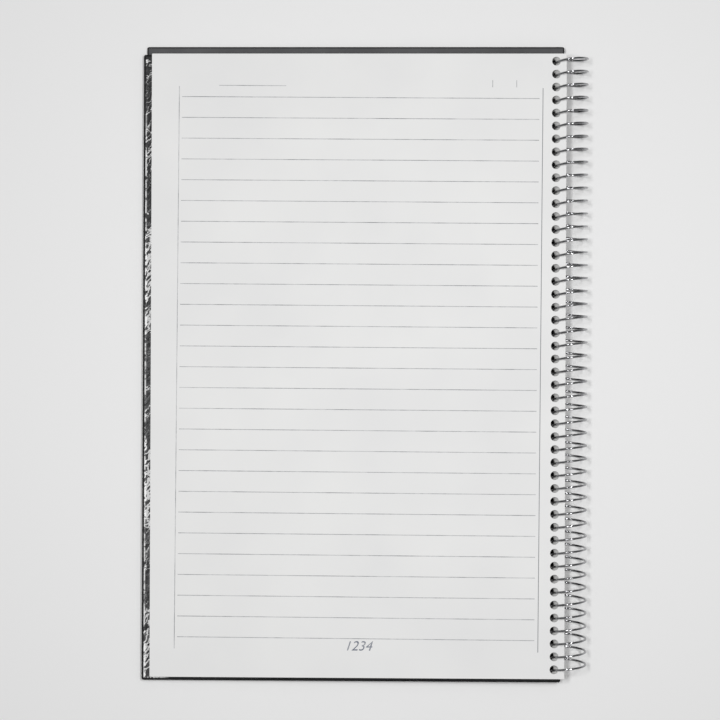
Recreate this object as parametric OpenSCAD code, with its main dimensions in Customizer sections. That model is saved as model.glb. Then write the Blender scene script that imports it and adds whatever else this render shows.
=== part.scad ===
// Hard-cover spiral notebook lying folded open: ruled pages on top, the front cover under them and the
// back cover swung round behind it. Millimetres, +X towards the coil, +Y towards the head, +Z up.
// The coil and the fore-edge touch the table at Z 0, so the boards and pages slope down slightly to the left.

/* [Pages] */
// Width of a page, from the fore-edge to the spine edge
page_w = 199.3; // [120:0.1:240]
// Height of a page, from the tail to the head
page_h = 300; // [150:1:330]
// Thickness of the whole block of pages
block_t = 7; // [4:0.5:10]
// From a page's spine edge to the middle of its holes
page_hole_inset = 4.9; // [4:0.1:6]

/* [Holes] */
// Distance from one hole to the next
hole_pitch = 6.21; // [5.2:0.01:8]
// Diameter of a punched hole
hole_d = 4.2; // [3.8:0.1:4.8]
// Least paper left between the head or tail and the middle of the end hole
hole_end_min = 3; // [2.5:0.1:6]
// How far the row of holes sits nearer the head than the middle of a sheet
hole_row_shift = 0.45; // [0:0.05:1.5]

/* [Coil] */
// Diameter of the wire
wire_d = 1; // [0.8:0.1:1.2]
// Free height inside the coil over the closed stack of pages and covers
coil_room = 5.1; // [4:0.1:8]
// How far the middle of the stack lies under the middle of the coil
stack_sink = 0.15; // [0:0.05:0.5]
// Straight pieces that a turn of the wire is made of
turn_steps = 16; // [12:1:20]
// Sides of the wire's section
wire_sides = 6; // [5:1:8]

/* [Covers] */
// Thickness of a covered board
board_t = 1.4; // [1:0.1:2.4]
// How far both covers stand out past the pages at the head and the tail together, halved
cover_end_overhang = 1.9; // [0.5:0.05:6]
// How far the front cover stands out past the pages' fore-edge
front_overhang = 5; // [1:0.1:9]
// How far the back cover stands out past the pages' fore-edge
back_overhang = 3.6; // [1:0.1:9]
// From a cover's spine edge to the middle of its holes
cover_hole_inset = 4.1; // [3.6:0.1:5]
// Thickness of the paper that lines the inside of a cover
lining_t = 0.15; // [0.1:0.05:0.4]
// Dark turned-in edge that the lining leaves bare
lining_border = 0.8; // [0.6:0.1:1.8]
// Air between pieces that lie on each other and move apart
layer_gap = 0.1; // [0.05:0.05:0.3]

/* [Ruling] */
// Distance between two ruled lines
rule_pitch = 10; // [6:0.5:14]
// From the head of the page to the first ruled line
rule_head = 21.3; // [14:0.1:30]
// Least distance from the tail of the page to the last ruled line
rule_tail_min = 18; // [12:0.5:30]
// From the fore-edge to the start of the ruled lines
rule_fore = 13.9; // [8:0.1:30]
// From the spine edge to the end of the ruled lines
rule_spine = 13.7; // [10:0.1:30]
// Width of a printed line
line_w = 0.35; // [0.2:0.05:0.8]
// How far the ink stands proud of the paper
ink_t = 0.05; // [0.03:0.01:0.1]
// From the fore-edge to the left margin line
margin_fore = 12.4; // [6:0.1:28]
// From the spine edge to the right margin line
margin_spine = 11.8; // [8:0.1:28]
// From the head to the top of the margin lines
margin_head = 16.1; // [8:0.1:28]
// From the tail to the foot of the margin lines
margin_tail = 13.2; // [8:0.1:28]
// From the head to the short title line
title_head = 15.8; // [8:0.1:18]
// From the fore-edge to the start of the title line
title_fore = 31.7; // [16:0.1:60]
// Length of the title line
title_l = 32.3; // [10:0.1:60]
// From the spine edge to the nearer stroke of the date
date_spine = 24.8; // [16:0.1:60]
// Distance between the two strokes of the date
date_gap = 11.5; // [6:0.1:20]
// Height of a stroke of the date
date_h = 3.4; // [2:0.1:5]
// Slant of the print on the page, in degrees
print_skew = 0.3; // [0:0.05:0.5]

/* [Hidden] */
bore_fn = 32;
through = 1;

// Heights in the stack, counted from the middle of the coil
stack_t = block_t + 2*board_t + 2*lining_t + 2*layer_gap;
stack_low = -stack_t/2 - stack_sink;
back_low = stack_low + lining_t;
back_top = back_low + board_t;
front_low = back_top + layer_gap;
front_top = front_low + board_t;
lining_top = front_top + lining_t;
block_low = lining_top + layer_gap;
block_top = block_low + block_t;

// The coil: inner diameter, outer radius and radius to the middle of the wire
coil_id = stack_t + coil_room;
coil_r = coil_id/2 + wire_d/2;
coil_out = coil_r + wire_d/2;

// Distance of the wire from the coil's middle plane, at a height in the stack
function wire_reach(w) = sqrt(coil_r*coil_r - w*w);
// Turn of the wire, in degrees from the coil's left side, at a height in the stack
function wire_turn(w) = asin(w/coil_r);
// Middle of the band in which the wire crosses a piece that spans two heights
function reach_mid(low, top) =
    let (far = low < 0 && top > 0 ? coil_r : max(wire_reach(low), wire_reach(top)))
    (far + min(wire_reach(low), wire_reach(top)))/2;

// Holes: how many fit, and where the first one is
hole_count = floor((page_h - 2*(hole_end_min + hole_row_shift))/hole_pitch) + 1;
hole_first = -(hole_count - 1)*hole_pitch/2;
wire_play = (hole_d - wire_d)/2;
page_hole_x = -reach_mid(block_low, block_top);
front_hole_x = -reach_mid(front_low, lining_top);
back_hole_x = -reach_mid(stack_low, back_top);

// Where the wire lies in the holes at rest, as a share of its free play along the coil
page_wire_share = -0.57;
front_wire_share = -0.4;
back_wire_share = 0.75;
page_wire_y = page_wire_share*wire_play;
front_shift = page_wire_y + hole_pitch*wire_turn((front_low + lining_top)/2)/360
    - front_wire_share*wire_play;
back_shift = page_wire_y + hole_pitch*(1 + wire_turn((stack_low + back_top)/2)/360)
    - back_wire_share*wire_play;

// Outlines of the pieces, with X counted from the coil's axis
page_spine = page_hole_x + page_hole_inset;
page_fore = page_spine - page_w;
front_spine = front_hole_x + cover_hole_inset;
front_fore = page_fore - front_overhang;
back_spine = back_hole_x + cover_hole_inset;
back_fore = page_fore - back_overhang;
cover_h = page_h + 2*cover_end_overhang;

// Slope at which the coil and the edge of the lowest lining both touch the table
rest_arm = -(back_fore + lining_border);
rest_slope = asin(coil_out/norm([stack_low, rest_arm])) - atan2(-stack_low, rest_arm);

// The frame's origin is the middle of the bounding box's bottom face
coil_x = -(coil_out + front_fore*cos(rest_slope) - front_top*sin(rest_slope))/2;
coil_z = coil_out;
page_y = hole_row_shift - (front_shift + back_shift)/2;

// The wire starts in the front cover's first hole and ends in the back cover's last one
turn_from = wire_turn((front_low + lining_top)/2);
turn_to = 360*hole_count + wire_turn((back_low + back_top)/2);
step_count = round((turn_to - turn_from)/360*turn_steps);
wire_rise = hole_pitch/360;

rule_count = floor((page_h - rule_head - rule_tail_min)/rule_pitch) + 1;

// Puts what is drawn around the coil's axis in the stack's own level frame onto the table
module lying() {
    translate([coil_x, page_y, coil_z]) rotate([0, -rest_slope, 0]) children();
}

// Row of punched holes along the coil, from one height to another
module hole_row(x, low, top) {
    for (i = [0:hole_count - 1])
        translate([x, hole_first + i*hole_pitch, low - through])
            cylinder(h = top - low + 2*through, d = hole_d, $fn = bore_fn);
}

// Flat sheet from one X to another, with its row of holes a little nearer the head than its middle
module punched_sheet(x_from, x_to, height, low, top, hole_x) {
    difference() {
        translate([x_from, -height/2 - hole_row_shift, low]) cube([x_to - x_from, height, top - low]);
        hole_row(hole_x, low, top);
    }
}

// Printed bar on the top page, given by its left lower corner and its size
module ink_bar(x, y, w, h) {
    translate([x, y, block_top]) cube([w, h, ink_t]);
}

module page_block() {
    color("whitesmoke") lying()
        punched_sheet(page_fore, page_spine, page_h, block_low, block_top, page_hole_x);
}

module page_ruling() {
    rule_l = page_w - rule_fore - rule_spine;
    margin_l = page_h - margin_head - margin_tail;
    date_y = page_h/2 - title_head;
    color("lightslategray") lying()
        translate([page_fore + page_w/2, -hole_row_shift, 0]) rotate([0, 0, -print_skew])
            translate([-page_w/2, 0, 0]) {
                for (i = [0:rule_count - 1])
                    ink_bar(rule_fore, page_h/2 - rule_head - i*rule_pitch, rule_l, line_w);
                ink_bar(margin_fore, margin_tail - page_h/2, line_w, margin_l);
                ink_bar(page_w - margin_spine - line_w, margin_tail - page_h/2, line_w, margin_l);
                ink_bar(title_fore, page_h/2 - title_head, title_l, line_w);
                for (i = [0:1])
                    ink_bar(page_w - date_spine - i*date_gap, date_y, line_w, date_h);
            }
}

// Inside of the front cover faces up, under the pages
module front_cover() {
    color("dimgray") lying() translate([0, front_shift, 0])
        punched_sheet(front_fore, front_spine, cover_h, front_low, front_top, front_hole_x);
}

module front_lining() {
    color("darkslategray") lying() translate([0, front_shift, 0])
        punched_sheet(front_fore + lining_border, front_spine - lining_border,
            cover_h - 2*lining_border, front_top, lining_top, front_hole_x);
}

// Inside of the back cover faces down, on the table
module back_cover() {
    color("dimgray") lying() translate([0, back_shift, 0])
        punched_sheet(back_fore, back_spine, cover_h, back_low, back_top, back_hole_x);
}

module back_lining() {
    color("darkslategray") lying() translate([0, back_shift, 0])
        punched_sheet(back_fore + lining_border, back_spine - lining_border,
            cover_h - 2*lining_border, stack_low, back_low, back_hole_x);
}

// Point of the wire's middle line at a turn in degrees, counted over the top from the left side
function wire_mid(turn) =
    [-coil_r*cos(turn), hole_first + page_wire_y + wire_rise*turn, coil_r*sin(turn)];

// One ring of the wire's section, square to its run
function wire_ring(turn) =
    let (out = [-cos(turn), 0, sin(turn)])
    let (run = [coil_r*sin(turn), wire_rise*180/PI, coil_r*cos(turn)])
    let (side = cross(run/norm(run), out))
    [for (k = [0:wire_sides - 1])
        let (a = 360*k/wire_sides)
        wire_mid(turn) + wire_d/2*(cos(a)*out + sin(a)*side)];

module wire_coil() {
    turn_step = (turn_to - turn_from)/step_count;
    points = [for (i = [0:step_count]) each wire_ring(turn_from + i*turn_step)];
    walls = [for (i = [0:step_count - 1], k = [0:wire_sides - 1])
        let (a = i*wire_sides + k, b = i*wire_sides + (k + 1)%wire_sides)
        each [[a, a + wire_sides, b], [b, a + wire_sides, b + wire_sides]]];
    start_cap = [for (k = [0:wire_sides - 1]) k];
    end_cap = [for (k = [wire_sides - 1:-1:0]) step_count*wire_sides + k];
    color("silver") lying()
        polyhedron(points = points, faces = concat([start_cap], walls, [end_cap]));
}

front_cover();
front_lining();
page_block();
page_ruling();
back_cover();
back_lining();
wire_coil();
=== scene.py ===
import math

import bmesh
import bpy
import numpy as np
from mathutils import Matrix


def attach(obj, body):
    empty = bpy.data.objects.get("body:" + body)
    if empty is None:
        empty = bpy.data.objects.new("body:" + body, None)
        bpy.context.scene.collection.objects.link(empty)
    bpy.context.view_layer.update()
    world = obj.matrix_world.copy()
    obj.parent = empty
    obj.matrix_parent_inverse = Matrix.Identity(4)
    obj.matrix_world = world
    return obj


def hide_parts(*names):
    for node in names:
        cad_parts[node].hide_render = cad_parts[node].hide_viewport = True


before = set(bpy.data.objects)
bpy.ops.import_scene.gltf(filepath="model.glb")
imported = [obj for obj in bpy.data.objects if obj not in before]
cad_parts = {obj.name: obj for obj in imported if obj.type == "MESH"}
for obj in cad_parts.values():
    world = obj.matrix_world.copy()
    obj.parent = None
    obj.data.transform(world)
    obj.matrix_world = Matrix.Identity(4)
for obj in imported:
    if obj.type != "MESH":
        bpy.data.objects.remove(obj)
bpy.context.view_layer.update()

# Everything is worked out in millimetres in the stack's own level frame: u to the right from the coil's
# axis, v towards the head from the middle of the row of holes, and w up from the axis. layDown then
# puts it on the table, at the small slope at which the notebook lies.
perMetre = 1000              # millimetres in a metre
lying = {
    "slope": math.radians(0.952613),
    "coilX": 98.9918,        # the coil's axis
    "coilZ": 8.7,
    "rowY": -0.997102,       # middle of the row of holes in the pages
}
holes = {
    "diameter": 4.2,
    "pitch": 6.21,
    "count": 48,
    "first": -145.935,
    "offCentre": 0.45,       # how far the row sits nearer the head than the middle of each sheet
    "wallReach": 3.0,        # the walls of holes get their tone up to this far from the row,
    "endClear": 1.0,         # but not within this of a sheet's head and tail
    "skin": 0.02,            # or within this of its two faces
}


def layDown(level, shift=0.0):
    # x = coilX + u cos s - w sin s, y = rowY + shift + v, z = coilZ + u sin s + w cos s, all to metres
    u, v, w = level[:, 0], level[:, 1], level[:, 2]
    s = lying["slope"]
    x = lying["coilX"] + u * math.cos(s) - w * math.sin(s)
    z = lying["coilZ"] + u * math.sin(s) + w * math.cos(s)
    return np.stack([x, lying["rowY"] + shift + v, z], 1) / perMetre


def gridQuads(rows, cols, wrap=False, flip=False):
    # quad (i, j) joins points (i, j), (i, j+1), (i+1, j+1) and (i+1, j) of a grid stored row by row
    i, j = np.meshgrid(np.arange(rows - 1), np.arange(cols if wrap else cols - 1), indexing="ij")
    here, beside = i * cols + j, i * cols + (j + 1) % cols
    quads = np.stack([here, beside, beside + cols, here + cols], -1).reshape(-1, 4)
    return quads[:, ::-1] if flip else quads


def atEachHole(quads, pointsEach):
    # the quads of one hole repeated for all, hole k counting its points from k * pointsEach
    return (quads[None] + np.arange(holes["count"])[:, None, None] * pointsEach).reshape(-1, 4)


def makePiece(name, patches, body, stands, shift=0.0, crease=35):
    # patches are (points, quads) pairs; points nearer than mergeWithin become one, so that the skins close
    # on each other, and edges shorter than sliver go
    mergeWithin = 2e-6       # m
    sliver = 5e-7
    points = np.concatenate([p for p, q in patches])
    starts = np.cumsum([0] + [len(p) for p, q in patches[:-1]])
    quads = np.concatenate([q + s for (p, q), s in zip(patches, starts)]).astype(np.int32)
    mesh = bpy.data.meshes.new(name)
    mesh.vertices.add(len(points))
    mesh.vertices.foreach_set("co", layDown(points, shift).astype(np.float32).ravel())
    mesh.loops.add(quads.size)
    mesh.loops.foreach_set("vertex_index", quads.ravel())
    mesh.polygons.add(len(quads))
    mesh.polygons.foreach_set("loop_start", np.arange(0, quads.size, 4, dtype=np.int32))
    mesh.update(calc_edges=True)
    shell = bmesh.new()
    shell.from_mesh(mesh)
    bmesh.ops.remove_doubles(shell, verts=shell.verts, dist=mergeWithin)
    bmesh.ops.dissolve_degenerate(shell, edges=shell.edges, dist=sliver)
    openEdges = sum(not e.is_manifold for e in shell.edges)
    shell.to_mesh(mesh)
    shell.free()
    mesh.shade_smooth()
    mesh.set_sharp_from_angle(angle=math.radians(crease))
    piece = bpy.data.objects.new(name, mesh)
    bpy.context.scene.collection.objects.link(piece)
    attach(piece, body)
    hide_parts(stands)
    print(f"{name}: {len(mesh.polygons)} faces, {openEdges} open edges")
    return piece


def outlineWalk(us, vs, fan):
    # once round the rectangle of the outer grid lines, anticlockwise: each point and its outward
    # direction, and at a corner the same point with the direction turning a quarter in fan steps
    across, along = np.ones(len(us)), np.ones(len(vs))
    turn = np.arange(1, fan) * (math.pi / 2 / fan)
    sides = [(us, vs[0] * across, -90), (us[-1] * along, vs, 0),
             (us[::-1], vs[-1] * across, 90), (us[0] * along, vs[::-1], 180)]
    base, way = [], []
    for u, v, side in sides:
        base += [np.stack([u, v], 1), np.repeat([[u[-1], v[-1]]], fan - 1, 0)]
        way += [np.full(len(u), math.radians(side)), math.radians(side) + turn]
    way = np.concatenate(way)
    return np.concatenate(base), np.stack([np.cos(way), np.sin(way)], 1)


def punchedSlab(sheet, out, up, fan, segs=6, columns=24, wallRows=2):
    # top and bottom: lines u by v with a square left out round each hole, and in each square
    # p(a, b) = (1 - b) * circle(a) + b * square(a). Walls of the holes: circle(a) at heights between the
    # two, moved left by bow * sin(pi * share of the height) ** bowPower, as leaves hang on a round coil.
    # Rim: base(s) + outward(s) * out(k, s) at height up(k), carried once round the outline.
    edge = out.max()
    half, reach = holes["pitch"] / 2, holes["diameter"] / 2
    left, right = sheet["holeX"] - half, sheet["holeX"] + half
    endV, bandV = sheet["height"] / 2 - edge, holes["first"] - half
    tail, head = -endV - holes["offCentre"], endV - holes["offCentre"]
    us = np.concatenate([np.linspace(sheet["fore"] + edge, left, columns + 1)[:-1],
                         np.linspace(left, right, segs + 1), [sheet["spine"] - edge]])
    bandRows = holes["count"] * segs
    vs = np.concatenate([[tail], np.linspace(bandV, -bandV, bandRows + 1), [head]])
    u, v = np.meshgrid(us, vs, indexing="ij")
    quads = gridQuads(len(us), len(vs))
    i, j = np.divmod(np.arange(len(quads)), len(vs) - 1)
    quads = quads[~((i >= columns) & (i < columns + segs) & (j >= 1) & (j < 1 + bandRows))]
    step = np.arange(segs) / segs * 2 - 1
    ones = np.ones(segs)
    square = half * np.stack([np.concatenate([step, ones, -step, -ones]),
                              np.concatenate([-ones, step, ones, -step])], 1)
    a = math.radians(225) + np.arange(4 * segs) * (math.pi / 2 / segs)       # from the first corner
    circle = reach * np.stack([np.cos(a), np.sin(a)], 1)
    ringBetween = 0.45       # the one ring of points between circle and square
    b = np.array([0, ringBetween, 1])[:, None, None]
    cell = (1 - b) * circle + b * square
    middle = np.stack([np.full(holes["count"], sheet["holeX"]),
                       holes["first"] + np.arange(holes["count"]) * holes["pitch"]], 1)
    cells = middle[:, None, None, :] + cell
    rings = middle[:, None, :] + circle
    patches = []
    for height, flip in ((sheet["top"], True), (sheet["low"], False)):
        patches.append((np.stack([u.ravel(), v.ravel(), np.full(u.size, height)], 1),
                        quads[:, ::-1] if flip else quads))
        flat = cells.reshape(-1, 2)
        one = gridQuads(len(b), 4 * segs, wrap=True, flip=flip)
        patches.append((np.column_stack([flat, np.full(len(flat), height)]),
                        atEachHole(one, cells[0].size // 2)))
    levels = np.linspace(sheet["top"], sheet["low"], wallRows + 1)
    wall = np.empty((holes["count"], wallRows + 1, 4 * segs, 3))
    wall[..., :2] = rings[:, None]
    if "bow" in sheet:
        share = np.linspace(0, 1, wallRows + 1)
        wall[..., 0] -= sheet["bow"] * (np.sin(math.pi * share[None, :, None]).clip(0) ** sheet["bowPower"])
    wall[..., 2] = levels[None, :, None]
    one = gridQuads(wallRows + 1, 4 * segs, wrap=True)
    patches.append((wall.reshape(-1, 3), atEachHole(one, wall[0].size // 3)))
    base, way = outlineWalk(us, vs, fan)
    spread = out(len(base)) if callable(out) else np.broadcast_to(out[:, None], (len(up), len(base)))
    rim = base[None] + way[None] * spread[..., None]
    rim = np.concatenate([rim, np.broadcast_to(up[:, None, None], rim.shape[:2] + (1,))], -1)
    patches.append((rim.reshape(-1, 3), gridQuads(len(up), len(base), wrap=True, flip=True)))
    return patches


def plug(tree, socket, value):
    # small helpers for the materials start here: a socket gets a link or a constant
    if isinstance(value, bpy.types.NodeSocket):
        tree.links.new(value, socket)
    else:
        socket.default_value = value


def calc(tree, operation, first, second=0.0, third=0.0, clamp=False):
    # one Math node, fed with sockets or plain numbers
    node = tree.nodes.new("ShaderNodeMath")
    node.operation = operation
    node.use_clamp = clamp
    for socket, value in zip(node.inputs, (first, second, third)):
        plug(tree, socket, value)
    return node.outputs[0]


def noise(tree, vector, scale, detail, roughness, distortion=0.0):
    # grey value of one Noise Texture
    node = tree.nodes.new("ShaderNodeTexNoise")
    plug(tree, node.inputs["Vector"], vector)
    settings = {"Scale": scale, "Detail": detail, "Roughness": roughness, "Distortion": distortion}
    for label, value in settings.items():
        plug(tree, node.inputs[label], value)
    return node.outputs["Fac"]


def span(tree, value, low, high, newLow=0.0, newHigh=1.0):
    # straight line from (low, newLow) to (high, newHigh), held at both ends
    node = tree.nodes.new("ShaderNodeMapRange")
    plug(tree, node.inputs["Value"], value)
    settings = {"From Min": low, "From Max": high, "To Min": newLow, "To Max": newHigh}
    for label, number in settings.items():
        plug(tree, node.inputs[label], number)
    return node.outputs["Result"]


def blendColor(tree, factor, first, second):
    # (1 - factor) * first + factor * second
    node = tree.nodes.new("ShaderNodeMix")
    node.data_type = "RGBA"
    plug(tree, node.inputs[0], factor)       # sockets 0, 6 and 7 and output 2 are the ones for colours
    plug(tree, node.inputs[6], first)
    plug(tree, node.inputs[7], second)
    return node.outputs[2]


def splitPlace(tree, place):
    # the three numbers of a vector
    node = tree.nodes.new("ShaderNodeSeparateXYZ")
    plug(tree, node.inputs[0], place)
    return node.outputs["X"], node.outputs["Y"], node.outputs["Z"]


def levelPlace(tree, shift=0.0, middleU=0.0):
    # Object coordinates turned back into the level frame, in millimetres: x from middleU, y from the
    # middle of a sheet and z up from the coil's axis
    s = lying["slope"]
    coords = tree.nodes.new("ShaderNodeTexCoord")
    mapping = tree.nodes.new("ShaderNodeMapping")
    mapping.inputs["Scale"].default_value = (perMetre, perMetre, perMetre)
    mapping.inputs["Rotation"].default_value = (0, s, 0)
    mapping.inputs["Location"].default_value = (
        -lying["coilX"] * math.cos(s) - lying["coilZ"] * math.sin(s) - middleU,
        holes["offCentre"] - lying["rowY"] - shift,
        lying["coilX"] * math.sin(s) - lying["coilZ"] * math.cos(s))
    tree.links.new(coords.outputs["Object"], mapping.inputs["Vector"])
    return mapping.outputs["Vector"]


def wallMask(tree):
    # 1 on upright faces, where the normal's height is under 0.2, and 0 where it is over 0.5
    z = splitPlace(tree, tree.nodes.new("ShaderNodeTexCoord").outputs["Normal"])[2]
    return span(tree, calc(tree, "ABSOLUTE", z), 0.5, 0.2)


def punchedWall(tree, place, sheet):
    # 1 on the walls of a sheet's holes where they are near the row, clear of the sheet's ends and
    # between its faces
    x, y, z = splitPlace(tree, place)
    rowX = sheet["holeX"] - (sheet["fore"] + sheet["spine"]) / 2
    inRow = calc(tree, "COMPARE", x, rowX, holes["wallReach"])
    inSheet = calc(tree, "COMPARE", y, 0.0, sheet["height"] / 2 - holes["endClear"])
    inside = calc(tree, "COMPARE", z, (sheet["top"] + sheet["low"]) / 2,
                  (sheet["top"] - sheet["low"]) / 2 - holes["skin"])
    return calc(tree, "MULTIPLY", inside, calc(tree, "MULTIPLY", inRow, inSheet))


def newMaterial(name, roughness, **constant):
    # further values go to the shader's sockets of those names, where _ stands for a space
    material = bpy.data.materials.new(name)
    material.use_nodes = True
    shader = material.node_tree.nodes["Principled BSDF"]
    shader.inputs["Roughness"].default_value = roughness
    for label, value in constant.items():
        shader.inputs[label.replace("_", " ")].default_value = value
    return material, material.node_tree, shader


def bumpFrom(tree, shader, height, distance):
    # relief of height (0 to 1) times distance in metres
    node = tree.nodes.new("ShaderNodeBump")
    node.inputs["Strength"].default_value = 1.0
    node.inputs["Distance"].default_value = distance
    plug(tree, node.inputs["Height"], height)
    tree.links.new(node.outputs["Normal"], shader.inputs["Normal"])


def startGroup(name, inputs, outputs):
    # inputs are (name, socket type, value) and outputs (name, socket type)
    group = bpy.data.node_groups.new(name, "ShaderNodeTree")
    for label, kind, value in inputs:
        socket = group.interface.new_socket(name=label, in_out="INPUT", socket_type=kind)
        if value is not None:
            socket.default_value = value
    for label, kind in outputs:
        group.interface.new_socket(name=label, in_out="OUTPUT", socket_type=kind)
    given = group.nodes.new("NodeGroupInput").outputs
    result = group.nodes.new("NodeGroupOutput").inputs
    return group, given, result


def useGroup(tree, group, **values):
    # values go to the group's inputs of those names, where _ stands for a space
    node = tree.nodes.new("ShaderNodeGroup")
    node.node_tree = group
    for label, value in values.items():
        plug(tree, node.inputs[label.replace("_", " ")], value)
    return node.outputs


def fibreGroup():
    # fibres: fine noise drawn out along the page, plus a slow cloud for the uneven pulp
    group, given, result = startGroup(
        "paperFibre",
        [("Vector", "NodeSocketVector", None),
         ("Fibre Scale", "NodeSocketFloat", 6.0),
         ("Cloud Scale", "NodeSocketFloat", 0.03)],
        [("Height", "NodeSocketFloat"),
         ("Cloud", "NodeSocketFloat")])
    drawnOut = (1.0, 0.35, 1.0)
    stretch = group.nodes.new("ShaderNodeMapping")
    stretch.inputs["Scale"].default_value = drawnOut
    group.links.new(given["Vector"], stretch.inputs["Vector"])
    fine = noise(group, stretch.outputs["Vector"], given["Fibre Scale"], 4, 0.6, 0.4)
    plug(group, result["Height"], fine)
    plug(group, result["Cloud"], noise(group, given["Vector"], given["Cloud Scale"], 3, 0.5))
    return group


def edgeZoneGroup():
    # near = 1 at the outline and 0 at Reach inside it; Rim is near made steep, and Wear is near plus
    # breakUp * (noise - 0.5), made steep and faded out inwards
    group, given, result = startGroup(
        "edgeZone",
        [("Vector", "NodeSocketVector", None),
         ("Half Width", "NodeSocketFloat", 100.0),
         ("Half Height", "NodeSocketFloat", 150.0),
         ("Reach", "NodeSocketFloat", 1.0),
         ("Break Scale", "NodeSocketFloat", 1.5)],
        [("Rim", "NodeSocketFloat"),
         ("Wear", "NodeSocketFloat")])
    breakUp = 3.0
    x, y = splitPlace(group, given["Vector"])[:2]
    inU = calc(group, "SUBTRACT", given["Half Width"], calc(group, "ABSOLUTE", x))
    inV = calc(group, "SUBTRACT", given["Half Height"], calc(group, "ABSOLUTE", y))
    depth = calc(group, "DIVIDE", calc(group, "MINIMUM", inU, inV), given["Reach"])
    near = calc(group, "SUBTRACT", 1.0, depth)
    rough = noise(group, given["Vector"], given["Break Scale"], 5, 0.65)
    broken = calc(group, "MULTIPLY_ADD", calc(group, "SUBTRACT", rough, 0.5), breakUp, near)
    faded = span(group, near, 0.0, 0.4)
    plug(group, result["Rim"], span(group, near, 0.15, 0.6))
    plug(group, result["Wear"], calc(group, "MULTIPLY", span(group, broken, 0.55, 1.0), faded))
    return group


paperFibre = fibreGroup()
edgeZone = edgeZoneGroup()
print("node groups ready")

pages = {
    "fore": -201.74962, "spine": -2.44962, "height": 300.0, "low": -2.0, "top": 5.0, "holeX": -7.34962,
    "leaves": 34,            # visible leaves, each two real sheets
    "ease": 0.4,             # radius of a page's corner, mm
    "uneven": 0.24,          # how far a leaf's edge may lie back, mm
    "leastBack": 0.25,       # and how little, as a share of that
    "sway": 0.6,             # how much that changes along the edge
    "waves": (1, 4),         # the sway comes one, two or three times round the block
    "phases": 6.28,          # and starts anywhere in this range, radians
    "seed": 11,
    "bow": 2.0,              # how far the walls of the holes bow towards the fore-edge, mm
    "bowPower": 1.3,         # over 1 keeps them steep near the top page
    "colour": (0.80, 0.80, 0.795, 1),
    "shade": (0.765, 0.765, 0.765, 1),
    "edgeLine": (0.60, 0.60, 0.59, 1),
    "holeWall": (0.66, 0.66, 0.65, 1),
    "fibreScale": 5.0,
    "cloudScale": 0.02,
    "leafFlat": (0.02, 0.02, 1.0),   # flattens the noise into the lines of the leaves
    "leafScale": 7.0,
    "fibreShare": 0.5,       # relief of the fibres beside that of the lines
    "roughness": (0.82, 0.94),
    "grain": 0.00004,        # height of the paper's grain, m
}


class LeafEdges:
    # out(k, s) = ease - setback(k) * (1 + sway * sin(waves(k) * s + phase(k))) / (1 + sway), the same at
    # a leaf's upper and lower edge, worked out once the number of steps round the rim is known
    def __init__(self, sheet):
        self.sheet = sheet

    def max(self):
        return self.sheet["ease"]

    def __call__(self, steps):
        leaves, sway = self.sheet["leaves"], self.sheet["sway"]
        rng = np.random.default_rng(self.sheet["seed"])
        setback = rng.uniform(self.sheet["leastBack"], 1.0, leaves) * self.sheet["uneven"]
        setback[0] = setback[-1] = 0.0
        waves = rng.integers(*self.sheet["waves"], leaves)
        phase = rng.uniform(0, self.sheet["phases"], leaves)
        s = np.arange(steps) / steps * 2 * math.pi
        swing = (1 + sway * np.sin(waves[:, None] * s + phase[:, None])) / (1 + sway)
        lie = self.sheet["ease"] - setback[:, None] * swing
        middle = np.zeros((1, steps))
        return np.concatenate([middle, np.repeat(lie, 2, 0), middle])


def pageMaterial():
    # white paper, a little clouded, with fine darker lines between the leaves and greyer walls of holes
    material, tree, shader = newMaterial("pagePaper", 0.88, Specular_IOR_Level=0.25)
    place = levelPlace(tree, middleU=(pages["fore"] + pages["spine"]) / 2)
    fibre = useGroup(tree, paperFibre, Vector=place, Fibre_Scale=pages["fibreScale"],
                     Cloud_Scale=pages["cloudScale"])
    colour = blendColor(tree, span(tree, fibre["Cloud"], 0.35, 0.7), pages["colour"], pages["shade"])
    side = wallMask(tree)
    leaf = tree.nodes.new("ShaderNodeMapping")
    leaf.inputs["Scale"].default_value = pages["leafFlat"]
    tree.links.new(place, leaf.inputs["Vector"])
    lines = noise(tree, leaf.outputs["Vector"], pages["leafScale"], 3, 0.7)
    between = calc(tree, "MULTIPLY", side, span(tree, lines, 0.42, 0.62))
    colour = blendColor(tree, between, colour, pages["edgeLine"])
    colour = blendColor(tree, punchedWall(tree, place, pages), colour, pages["holeWall"])
    plug(tree, shader.inputs["Base Color"], colour)
    rough = span(tree, fibre["Height"], 0.3, 0.7, *pages["roughness"])
    plug(tree, shader.inputs["Roughness"], rough)
    edges = calc(tree, "MULTIPLY", lines, side)
    height = calc(tree, "ADD", calc(tree, "MULTIPLY", fibre["Height"], pages["fibreShare"]), edges)
    bumpFrom(tree, shader, height, pages["grain"])
    return material


leafTops = np.linspace(pages["top"], pages["low"], pages["leaves"] + 1)
leafEnds = np.stack([leafTops[:-1], leafTops[1:]], 1).ravel()
leafHeights = np.concatenate([[pages["top"]], leafEnds, [pages["low"]]])
pageSkins = punchedSlab(pages, LeafEdges(pages), leafHeights, fan=4, wallRows=14)
pageBlock = makePiece("pageBlock", pageSkins, "page_block", "page_block")
pageBlock.data.materials.append(pageMaterial())

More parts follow.
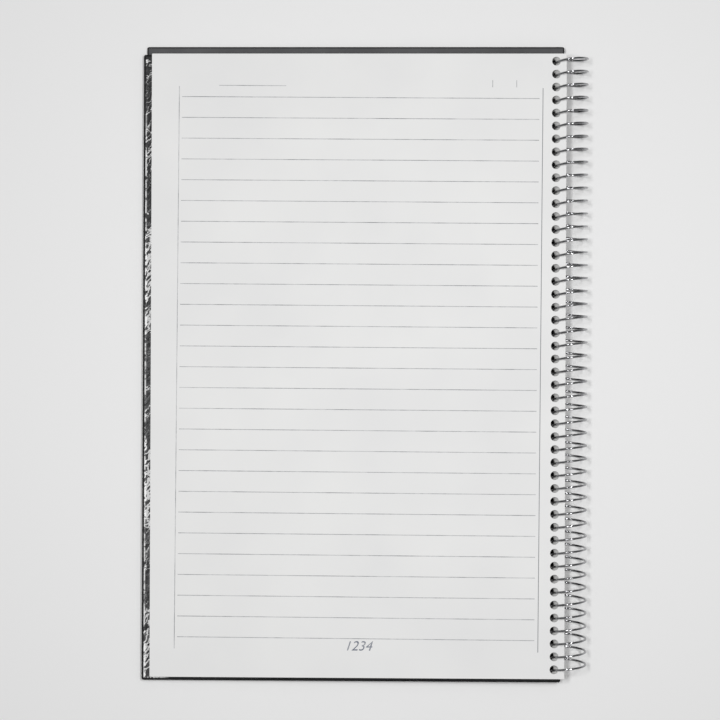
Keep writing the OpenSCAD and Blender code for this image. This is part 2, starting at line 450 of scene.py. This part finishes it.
# Covers: a board with rounded edges and eased corners, and the paper that lines its inside
boards = {
    "front": {"fore": -206.74962, "spine": -3.5347, "height": 303.8, "low": -3.65, "top": -2.25,
              "holeX": -7.6347, "shift": -0.62605, "rimReach": 1.7},
    "back": {"fore": -205.34962, "spine": -2.67464, "height": 303.8, "low": -5.15, "top": -3.75,
             "holeX": -6.77464, "shift": 3.52025, "rimReach": 1.1},
    "cornerEase": 0.9,       # radius of a corner seen from above, mm
    "edgeRound": 0.5,        # radius of the edge all round, mm
    "fibreScale": 3.0,
    "cloudScale": 0.05,
    "breakScale": 1.1,
    "wearShare": 0.05,
    "roughness": (0.55, 0.68),
    "rimRougher": 0.15,
    "grain": 0.00006,        # m
    "colour": (0.088, 0.088, 0.091, 1),
    "shade": (0.064, 0.064, 0.067, 1),
    # near-black: on the boards painted shade at the rounded edge, on the linings their black seam and ends
    "rim": (0.006, 0.006, 0.007, 1),
    "worn": (0.20, 0.20, 0.20, 1),
    "core": (0.62, 0.61, 0.59, 1),       # the board itself, inside the holes
}
linings = {
    "front": {"fore": -205.94962, "spine": -4.3347, "height": 302.2, "low": -2.25, "top": -2.1,
              "holeX": -7.6347, "shift": -0.62605},
    "back": {"fore": -204.54962, "spine": -3.47464, "height": 302.2, "low": -5.3, "top": -5.15,
             "holeX": -6.77464, "shift": 3.52025},
    "trim": 0.04,            # bevel of the cut edge, mm
    "fibreScale": 5.0,
    "cloudScale": 0.04,
    "grain": 0.00003,        # m
    "cutHighlightReach": 1.2,         # width of the pale cut edge with its painted highlight, mm
    "cutHighlightHead": (128, 112),   # towards the head it fades out between these, mm from the middle
    "rubScale": 0.2,
    "rubbed": (0.46, 0.53),  # where the noise is below these the cut edge is rubbed dark
    "seamReach": 0.45,       # width of the black seam outside it, mm
    "endReach": 2.6,         # width of the plain black at head and tail, mm
    "endStart": (9, 13),     # which fades in between these, mm from the fore-edge
    "roughness": (0.5, 0.64),
    "dark": (0.012, 0.012, 0.013, 1),
    "mid": (0.15, 0.15, 0.154, 1),
    "light": (0.92, 0.92, 0.92, 1),
    # the pale cut edge, widened into a painted highlight
    "cutAndHighlight": (0.88, 0.88, 0.88, 1),
}


def boardProfile(board):
    # straight out over the eased corner's width, with one step between, then a quarter round down in
    # roundSteps, and the same from below
    roundSteps = 5
    between = 0.6
    ease, radius = boards["cornerEase"], boards["edgeRound"]
    a = np.linspace(0, math.pi / 2, roundSteps + 1)
    out = np.concatenate([[0, (ease - radius) * between], ease - radius + radius * np.sin(a)])
    up = np.concatenate([[board["top"]] * 2, board["top"] - radius * (1 - np.cos(a))])
    low = board["low"] + board["top"] - up
    return np.concatenate([out, out[::-1]]), np.concatenate([up, low[::-1]])


def boardMaterial(side):
    # dark covering paper, darker near the outline (painted shade on the rounded edge, partly the paper's
    # dark turned edge) and here and there rubbed pale
    board = boards[side]
    halfW = (board["spine"] - board["fore"]) / 2
    material, tree, shader = newMaterial(side + "CoverPaper", 0.6, Specular_IOR_Level=0.25)
    place = levelPlace(tree, board["shift"], board["fore"] + halfW)
    fibre = useGroup(tree, paperFibre, Vector=place, Fibre_Scale=boards["fibreScale"],
                     Cloud_Scale=boards["cloudScale"])
    edge = useGroup(tree, edgeZone, Vector=place, Half_Width=halfW, Half_Height=board["height"] / 2,
                    Reach=board["rimReach"], Break_Scale=boards["breakScale"])
    colour = blendColor(tree, span(tree, fibre["Cloud"], 0.3, 0.7), boards["colour"], boards["shade"])
    # painted shade: near-black within rimReach of the outline, where the rounded edge turns from the light;
    # partly the covering paper's dark turned edge
    colour = blendColor(tree, edge["Rim"], colour, boards["rim"])
    rubbed = calc(tree, "MULTIPLY", edge["Wear"], boards["wearShare"])
    colour = blendColor(tree, rubbed, colour, boards["worn"])
    # the walls of the punched holes show the board's pale core
    colour = blendColor(tree, punchedWall(tree, place, board), colour, boards["core"])
    plug(tree, shader.inputs["Base Color"], colour)
    satin = span(tree, fibre["Height"], 0.3, 0.7, *boards["roughness"])
    rough = calc(tree, "MULTIPLY_ADD", edge["Rim"], boards["rimRougher"], satin)
    plug(tree, shader.inputs["Roughness"], rough)
    bumpFrom(tree, shader, fibre["Height"], boards["grain"])
    return material


marble = {
    "warpScale": 0.2,
    "push": (5, 5, 5),               # how far the warp pushes the strokes, mm
    "turn": math.radians(50),        # slant of the strokes
    "stretch": (2.6, 0.83, 1.0),     # how they are drawn out along and across the slant
    "strokeScale": 0.34,
    "halfStroke": 0.056,
    "strokeEdge": (-0.01, 0.006),    # a stroke fades out between these
    "mottleScale": 0.7,
    "patchScale": 0.07,
    "waveHeight": 0.1,
    "patchLength": 95.0,             # from one crowded stretch to the next, mm
    "lean": 0.35,                    # slant of the crowded stretches
    "start": 18.0,                   # mm
    "headThin": (125, 70),           # strokes thin out between these, mm from the middle
    "headDark": (90, 30),            # and the grey mottling darkens between these
}


def marbling(tree, place):
    # slanting strokes where a warped and drawn-out noise n has |n - 0.5| < halfStroke * amount. amount
    # follows waveHeight * sin(2 pi * (v + lean * u + start) / patchLength) + noise, so that crowded and
    # plain stretches take turns, and it thins out towards the head
    warp = tree.nodes.new("ShaderNodeTexNoise")
    warp.inputs["Scale"].default_value = marble["warpScale"]
    warp.inputs["Detail"].default_value = 3.0
    tree.links.new(place, warp.inputs["Vector"])
    push = tree.nodes.new("ShaderNodeVectorMath")
    push.operation = "MULTIPLY_ADD"
    push.inputs[1].default_value = marble["push"]
    tree.links.new(warp.outputs["Color"], push.inputs[0])
    tree.links.new(place, push.inputs[2])
    comb = tree.nodes.new("ShaderNodeMapping")
    comb.vector_type = "TEXTURE"
    comb.inputs["Rotation"].default_value = (0, 0, marble["turn"])
    comb.inputs["Scale"].default_value = marble["stretch"]
    tree.links.new(push.outputs["Vector"], comb.inputs["Vector"])
    strokes = noise(tree, comb.outputs["Vector"], marble["strokeScale"], 3, 0.5)
    x, y = splitPlace(tree, place)[:2]
    slant = calc(tree, "MULTIPLY_ADD", x, marble["lean"], calc(tree, "ADD", y, marble["start"]))
    wave = calc(tree, "SINE", calc(tree, "MULTIPLY", slant, 2 * math.pi / marble["patchLength"]))
    drift = noise(tree, place, marble["patchScale"], 2, 0.4)
    patch = calc(tree, "MULTIPLY_ADD", wave, marble["waveHeight"], drift)
    crowd = span(tree, patch, 0.42, 0.60, 0.05, 1.0)
    amount = calc(tree, "MULTIPLY", crowd, span(tree, y, *marble["headThin"], 0.3, 1.0))
    away = calc(tree, "ABSOLUTE", calc(tree, "SUBTRACT", strokes, 0.5))
    inStroke = calc(tree, "MULTIPLY_ADD", amount, -marble["halfStroke"], away)
    vein = span(tree, inStroke, *marble["strokeEdge"], 1.0, 0.0)
    mottle = span(tree, noise(tree, comb.outputs["Vector"], marble["mottleScale"], 4, 0.6), 0.35, 0.65)
    cloud = calc(tree, "MULTIPLY", mottle, span(tree, y, *marble["headDark"], 0.35, 0.9))
    return vein, cloud


def liningMaterial(side):
    # marbled endpaper: grey mottling and white strokes on black, with a pale cut edge, widened into a
    # painted highlight, in a black seam
    lining = linings[side]
    halfW = (lining["spine"] - lining["fore"]) / 2
    material, tree, shader = newMaterial(side + "LiningPaper", 0.55, Specular_IOR_Level=0.25)
    place = levelPlace(tree, lining["shift"], lining["fore"] + halfW)
    vein, cloud = marbling(tree, place)
    fibre = useGroup(tree, paperFibre, Vector=place, Fibre_Scale=linings["fibreScale"],
                     Cloud_Scale=linings["cloudScale"])
    colour = blendColor(tree, cloud, linings["dark"], linings["mid"])
    colour = blendColor(tree, vein, colour, linings["light"])

    def rimWithin(halfWidth, reach):
        zone = useGroup(tree, edgeZone, Vector=place, Half_Width=halfWidth,
                        Half_Height=lining["height"] / 2, Reach=reach)
        return zone["Rim"]

    # the paper's cut edge shows pale, widened into a painted highlight along the outline, here and there
    # rubbed dark
    x, y = splitPlace(tree, place)[:2]
    unrubbed = span(tree, noise(tree, place, linings["rubScale"], 4, 0.7), *linings["rubbed"])
    cutAndHighlight = calc(tree, "MULTIPLY", rimWithin(halfW, linings["cutHighlightReach"]), unrubbed)
    cutAndHighlight = calc(tree, "MULTIPLY", cutAndHighlight, span(tree, y, *linings["cutHighlightHead"]))
    colour = blendColor(tree, cutAndHighlight, colour, linings["cutAndHighlight"])
    colour = blendColor(tree, rimWithin(halfW, linings["seamReach"]), colour, boards["rim"])
    # at the head and the tail the pattern runs out into plain black, except near the fore-edge
    wide = 2 * lining["height"]      # wide enough for the fore-edge and the spine to have no rim here
    fadeIn = span(tree, x, *(mm - halfW for mm in linings["endStart"]))
    end = calc(tree, "MULTIPLY", rimWithin(wide, linings["endReach"]), fadeIn)
    colour = blendColor(tree, end, colour, boards["rim"])
    plug(tree, shader.inputs["Base Color"], colour)
    rough = span(tree, fibre["Height"], 0.3, 0.7, *linings["roughness"])
    plug(tree, shader.inputs["Roughness"], rough)
    bumpFrom(tree, shader, fibre["Height"], linings["grain"])
    return material


for side in ("front", "back"):
    out, up = boardProfile(boards[side])
    boardSkins = punchedSlab(boards[side], out, up, fan=8, segs=4, columns=12)
    board = makePiece(side + "Board", boardSkins, side + "_cover", side + "_cover",
                      boards[side]["shift"], crease=30)
    board.data.materials.append(boardMaterial(side))
    lining = linings[side]
    trim = linings["trim"]
    out = np.array([0, trim, trim, 0])
    up = np.array([lining["top"], lining["top"] - trim, lining["low"], lining["low"]])
    liningSkins = punchedSlab(lining, out, up, fan=2, segs=4, columns=12, wallRows=1)
    sheet = makePiece(side + "Lining", liningSkins, side + "_cover", side + "_lining",
                      lining["shift"])
    sheet.data.materials.append(liningMaterial(side))

coil = {
    "radius": 8.2,           # from the axis to the middle of the wire, mm
    "wire": 0.993,           # thickness of the wire
    "rise": holes["pitch"],
    "offHole": 0.912,        # at 0 degrees it lies this much nearer the tail than the first hole
    "turnFrom": -20.5246,    # degrees, counted over the top from the left side
    "turnTo": 17247.1,
    "stepsPerTurn": 36,
    "sides": 12,
    "endRound": 2.4,         # degrees of turn over which a cut end is rounded off
    "endSteps": 4,
    "drawnScale": 2.2,
    "filmScale": 0.25,
    "roughness": (0.10, 0.26),
    "grain": 0.00002,        # m
    "colour": (0.40, 0.40, 0.41, 1),
    "dull": (0.28, 0.28, 0.29, 1),
}


def wireCoil():
    # middle line: (-R cos t, first - offHole + rise * t / 360, R sin t); round it a circle of the wire's
    # radius times girth(t), in the plane of the outward direction and the one square to it and to the run
    cap = np.linspace(0, math.pi / 2, coil["endSteps"] + 1)
    steps = round((coil["turnTo"] - coil["turnFrom"]) / 360 * coil["stepsPerTurn"])
    inner = np.linspace(coil["turnFrom"] + coil["endRound"], coil["turnTo"] - coil["endRound"], steps + 1)
    lead = coil["endRound"] * (1 - np.cos(cap[:-1]))
    degrees = np.concatenate([coil["turnFrom"] + lead, inner, coil["turnTo"] - lead[::-1]])
    girth = np.concatenate([np.sin(cap[:-1]), np.ones(len(inner)), np.sin(cap[:-1])[::-1]])
    t = np.radians(degrees)
    zero, radius = np.zeros(len(t)), coil["radius"]
    along = holes["first"] - coil["offHole"] + coil["rise"] * degrees / 360
    middle = np.stack([-radius * np.cos(t), along, radius * np.sin(t)], 1)
    outward = np.stack([-np.cos(t), zero, np.sin(t)], 1)
    run = np.stack([radius * np.sin(t), zero + coil["rise"] / (2 * math.pi), radius * np.cos(t)], 1)
    across = np.cross(run / np.linalg.norm(run, axis=1)[:, None], outward)
    a = np.arange(coil["sides"]) / coil["sides"] * 2 * math.pi
    ring = np.cos(a)[None, :, None] * outward[:, None] + np.sin(a)[None, :, None] * across[:, None]
    points = middle[:, None] + coil["wire"] / 2 * girth[:, None, None] * ring
    return [(points.reshape(-1, 3), gridQuads(len(t), coil["sides"], wrap=True, flip=True))]


def wireMaterial():
    # bright plating with faint drawing marks, dulled in patches by a film
    material, tree, shader = newMaterial("platedWire", 0.16, Metallic=1.0)
    place = levelPlace(tree)
    drawn = noise(tree, place, coil["drawnScale"], 4, 0.6)
    film = noise(tree, place, coil["filmScale"], 3, 0.5)
    colour = blendColor(tree, span(tree, film, 0.4, 0.7), coil["colour"], coil["dull"])
    plug(tree, shader.inputs["Base Color"], colour)
    plug(tree, shader.inputs["Roughness"], span(tree, drawn, 0.35, 0.7, *coil["roughness"]))
    bumpFrom(tree, shader, drawn, coil["grain"])
    return material


wire = makePiece("wireCoil", wireCoil(), "wire_coil", "wire_coil", crease=60)
wire.data.materials.append(wireMaterial())

# Printed ruling: the CAD bars keep their shape and get the look of pale ink
ink = {
    "colour": (0.27, 0.275, 0.29, 1),
    "thin": (0.57, 0.575, 0.58, 1),
    "biteScale": 0.09,
    "grainScale": 4.0,
    "grainShare": 0.6,
    "roughness": (0.7, 0.88),
    "grain": 0.00001,        # m
    "marginFrom": 86.3,      # past this from the middle of the page lie the margin lines, mm
    "marginTo": 86.6,
    "rightMore": 1.0,        # extra ink on the right margin line
    "leftLess": -0.1,        # and on the left one
    "number": "1234",
    "numberSize": 6.6,       # mm
    "numberLean": 0.32,
    "numberSteps": 4,        # points on each curve of it
    "numberHalf": 0.02,      # half the number's thickness, mm
    "numberLift": 0.025,     # from the page to the middle of it
    "numberPlace": (-101.5, -135.3),
    "numberColour": (0.10, 0.12, 0.17, 1),
}


def inkMaterial(name, strong, thin):
    # strong where the press bit, thin where a slow noise lets the paper through, with a fine grain
    material, tree, shader = newMaterial(name, 0.8, Specular_IOR_Level=0.25)
    place = levelPlace(tree)
    bite = noise(tree, place, ink["biteScale"], 5, 0.7)
    grainy = noise(tree, place, ink["grainScale"], 2, 0.6)
    bitten = span(tree, bite, 0.36, 0.66)
    speck = calc(tree, "SUBTRACT", grainy, 0.5)
    cover = calc(tree, "MULTIPLY_ADD", speck, ink["grainShare"], bitten)
    # the margin lines, out past the ends of the rules: the right one took more ink and the left one less
    x = splitPlace(tree, levelPlace(tree, middleU=(pages["fore"] + pages["spine"]) / 2))[0]
    right = span(tree, x, ink["marginFrom"], ink["marginTo"], 0.0, ink["rightMore"])
    left = span(tree, x, -ink["marginFrom"], -ink["marginTo"], 0.0, ink["leftLess"])
    margin = calc(tree, "ADD", right, left)
    cover = calc(tree, "ADD", cover, margin, clamp=True)
    plug(tree, shader.inputs["Base Color"], blendColor(tree, cover, thin, strong))
    plug(tree, shader.inputs["Roughness"], span(tree, grainy, 0.3, 0.7, *ink["roughness"]))
    bumpFrom(tree, shader, grainy, ink["grain"])
    return material


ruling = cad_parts["page_ruling"]
ruling.data.materials.clear()
ruling.data.materials.append(inkMaterial("rulingInk", ink["colour"], ink["thin"]))


def pageNumber():
    # built-in font, a few hundredths of a millimetre thick, made a mesh before it is laid on the page
    text = bpy.data.curves.new("pageNumber", "FONT")
    text.body = ink["number"]
    text.align_x, text.align_y = "CENTER", "CENTER"
    text.size, text.extrude, text.shear = ink["numberSize"], ink["numberHalf"], ink["numberLean"]
    text.resolution_u = ink["numberSteps"]
    model = bpy.data.objects.new("numberModel", text)
    bpy.context.scene.collection.objects.link(model)
    bpy.context.view_layer.update()
    solid = model.evaluated_get(bpy.context.evaluated_depsgraph_get())
    mesh = bpy.data.meshes.new_from_object(solid)
    bpy.data.objects.remove(model)
    flat = np.zeros(len(mesh.vertices) * 3, np.float32)
    mesh.vertices.foreach_get("co", flat)
    level = flat.reshape(-1, 3) + np.array([*ink["numberPlace"], pages["top"] + ink["numberLift"]])
    mesh.vertices.foreach_set("co", layDown(level).astype(np.float32).ravel())
    mesh.update()
    piece = bpy.data.objects.new("pageNumber", mesh)
    bpy.context.scene.collection.objects.link(piece)
    mesh.materials.clear()
    mesh.materials.append(inkMaterial("numberInk", ink["numberColour"], ink["thin"]))
    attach(piece, "page_block")


pageNumber()
print("ruling and page number ready")

studio = {
    "tableColour": (0.835, 0.835, 0.835, 1),
    "tableSize": 12.0,       # m, as all the places here are
    "tableCloud": 0.985,     # the darker tone of its faint clouds
    "cloudScale": 3.0,
    "horizon": (0.25, 0.25, 0.25, 1),
    "overhead": (0.12, 0.12, 0.12, 1),
    "leftLamp": {"at": (-0.22, 0.03, 1.0), "size": (0.11, 0.3), "watts": 4.45},
    "rightLamp": {"at": (0.21, 0.03, 0.784), "size": (0.05, 0.3), "watts": 2.84},
    "aimX": 0.0,
    "cameraAt": (-0.00187, -0.04883, 0.812),
    "cameraTurn": 0.24,      # degrees
    "lens": 83.25,           # mm, as the sensor is
    "sensor": 36,
    "shiftUp": 0.145,
    "clip": (0.01, 50),
}


def makeTable():
    # a square at Z 0, whose far edge shows only in views from low down
    mesh = bpy.data.meshes.new("table")
    half = studio["tableSize"] / 2
    corners = [(-half, -half, 0), (half, -half, 0), (half, half, 0), (-half, half, 0)]
    mesh.from_pydata(corners, [], [(0, 1, 2, 3)])
    table = bpy.data.objects.new("table", mesh)
    bpy.context.scene.collection.objects.link(table)
    material, tree, shader = newMaterial("tableTop", 0.9, Specular_IOR_Level=0.2)
    place = tree.nodes.new("ShaderNodeTexCoord").outputs["Object"]
    cloud = noise(tree, place, studio["cloudScale"], 3, 0.5)
    pale = studio["tableColour"]
    dim = tuple(c * studio["tableCloud"] for c in pale[:3]) + (1,)
    plug(tree, shader.inputs["Base Color"], blendColor(tree, cloud, pale, dim))
    mesh.materials.append(material)


def makeWorld():
    # brightness falls in a straight line from the horizon to overhead
    world = bpy.data.worlds.new("studioRoom")
    bpy.context.scene.world = world
    world.use_nodes = True
    tree = world.node_tree
    z = splitPlace(tree, tree.nodes.new("ShaderNodeTexCoord").outputs["Generated"])[2]
    room = blendColor(tree, span(tree, z, 0.0, 1.0), studio["horizon"], studio["overhead"])
    plug(tree, tree.nodes["Background"].inputs["Color"], room)


def makeLamp(name):
    # a rectangle turned about Y until it faces aimX on the table
    values = studio[name]
    lamp = bpy.data.lights.new(name, "AREA")
    lamp.shape = "RECTANGLE"
    lamp.size, lamp.size_y = values["size"]
    lamp.energy = values["watts"]
    holder = bpy.data.objects.new(name, lamp)
    holder.location = values["at"]
    lean = math.atan2(values["at"][0] - studio["aimX"], values["at"][2])
    holder.rotation_euler = (0, lean, 0)
    holder.visible_camera = False
    bpy.context.scene.collection.objects.link(holder)


def makeCamera():
    # looks straight down; its view is shifted up and not tilted, so the page's sides stay parallel
    data = bpy.data.cameras.new("camera")
    data.lens, data.sensor_width, data.shift_y = studio["lens"], studio["sensor"], studio["shiftUp"]
    data.clip_start, data.clip_end = studio["clip"]
    camera = bpy.data.objects.new("camera", data)
    camera.location = studio["cameraAt"]
    camera.rotation_euler = (0, 0, math.radians(studio["cameraTurn"]))
    bpy.context.scene.collection.objects.link(camera)
    bpy.context.scene.camera = camera


makeTable()
makeWorld()
makeLamp("leftLamp")
makeLamp("rightLamp")
makeCamera()
bpy.context.scene.view_settings.view_transform = "Standard"
print("table, light and camera ready")
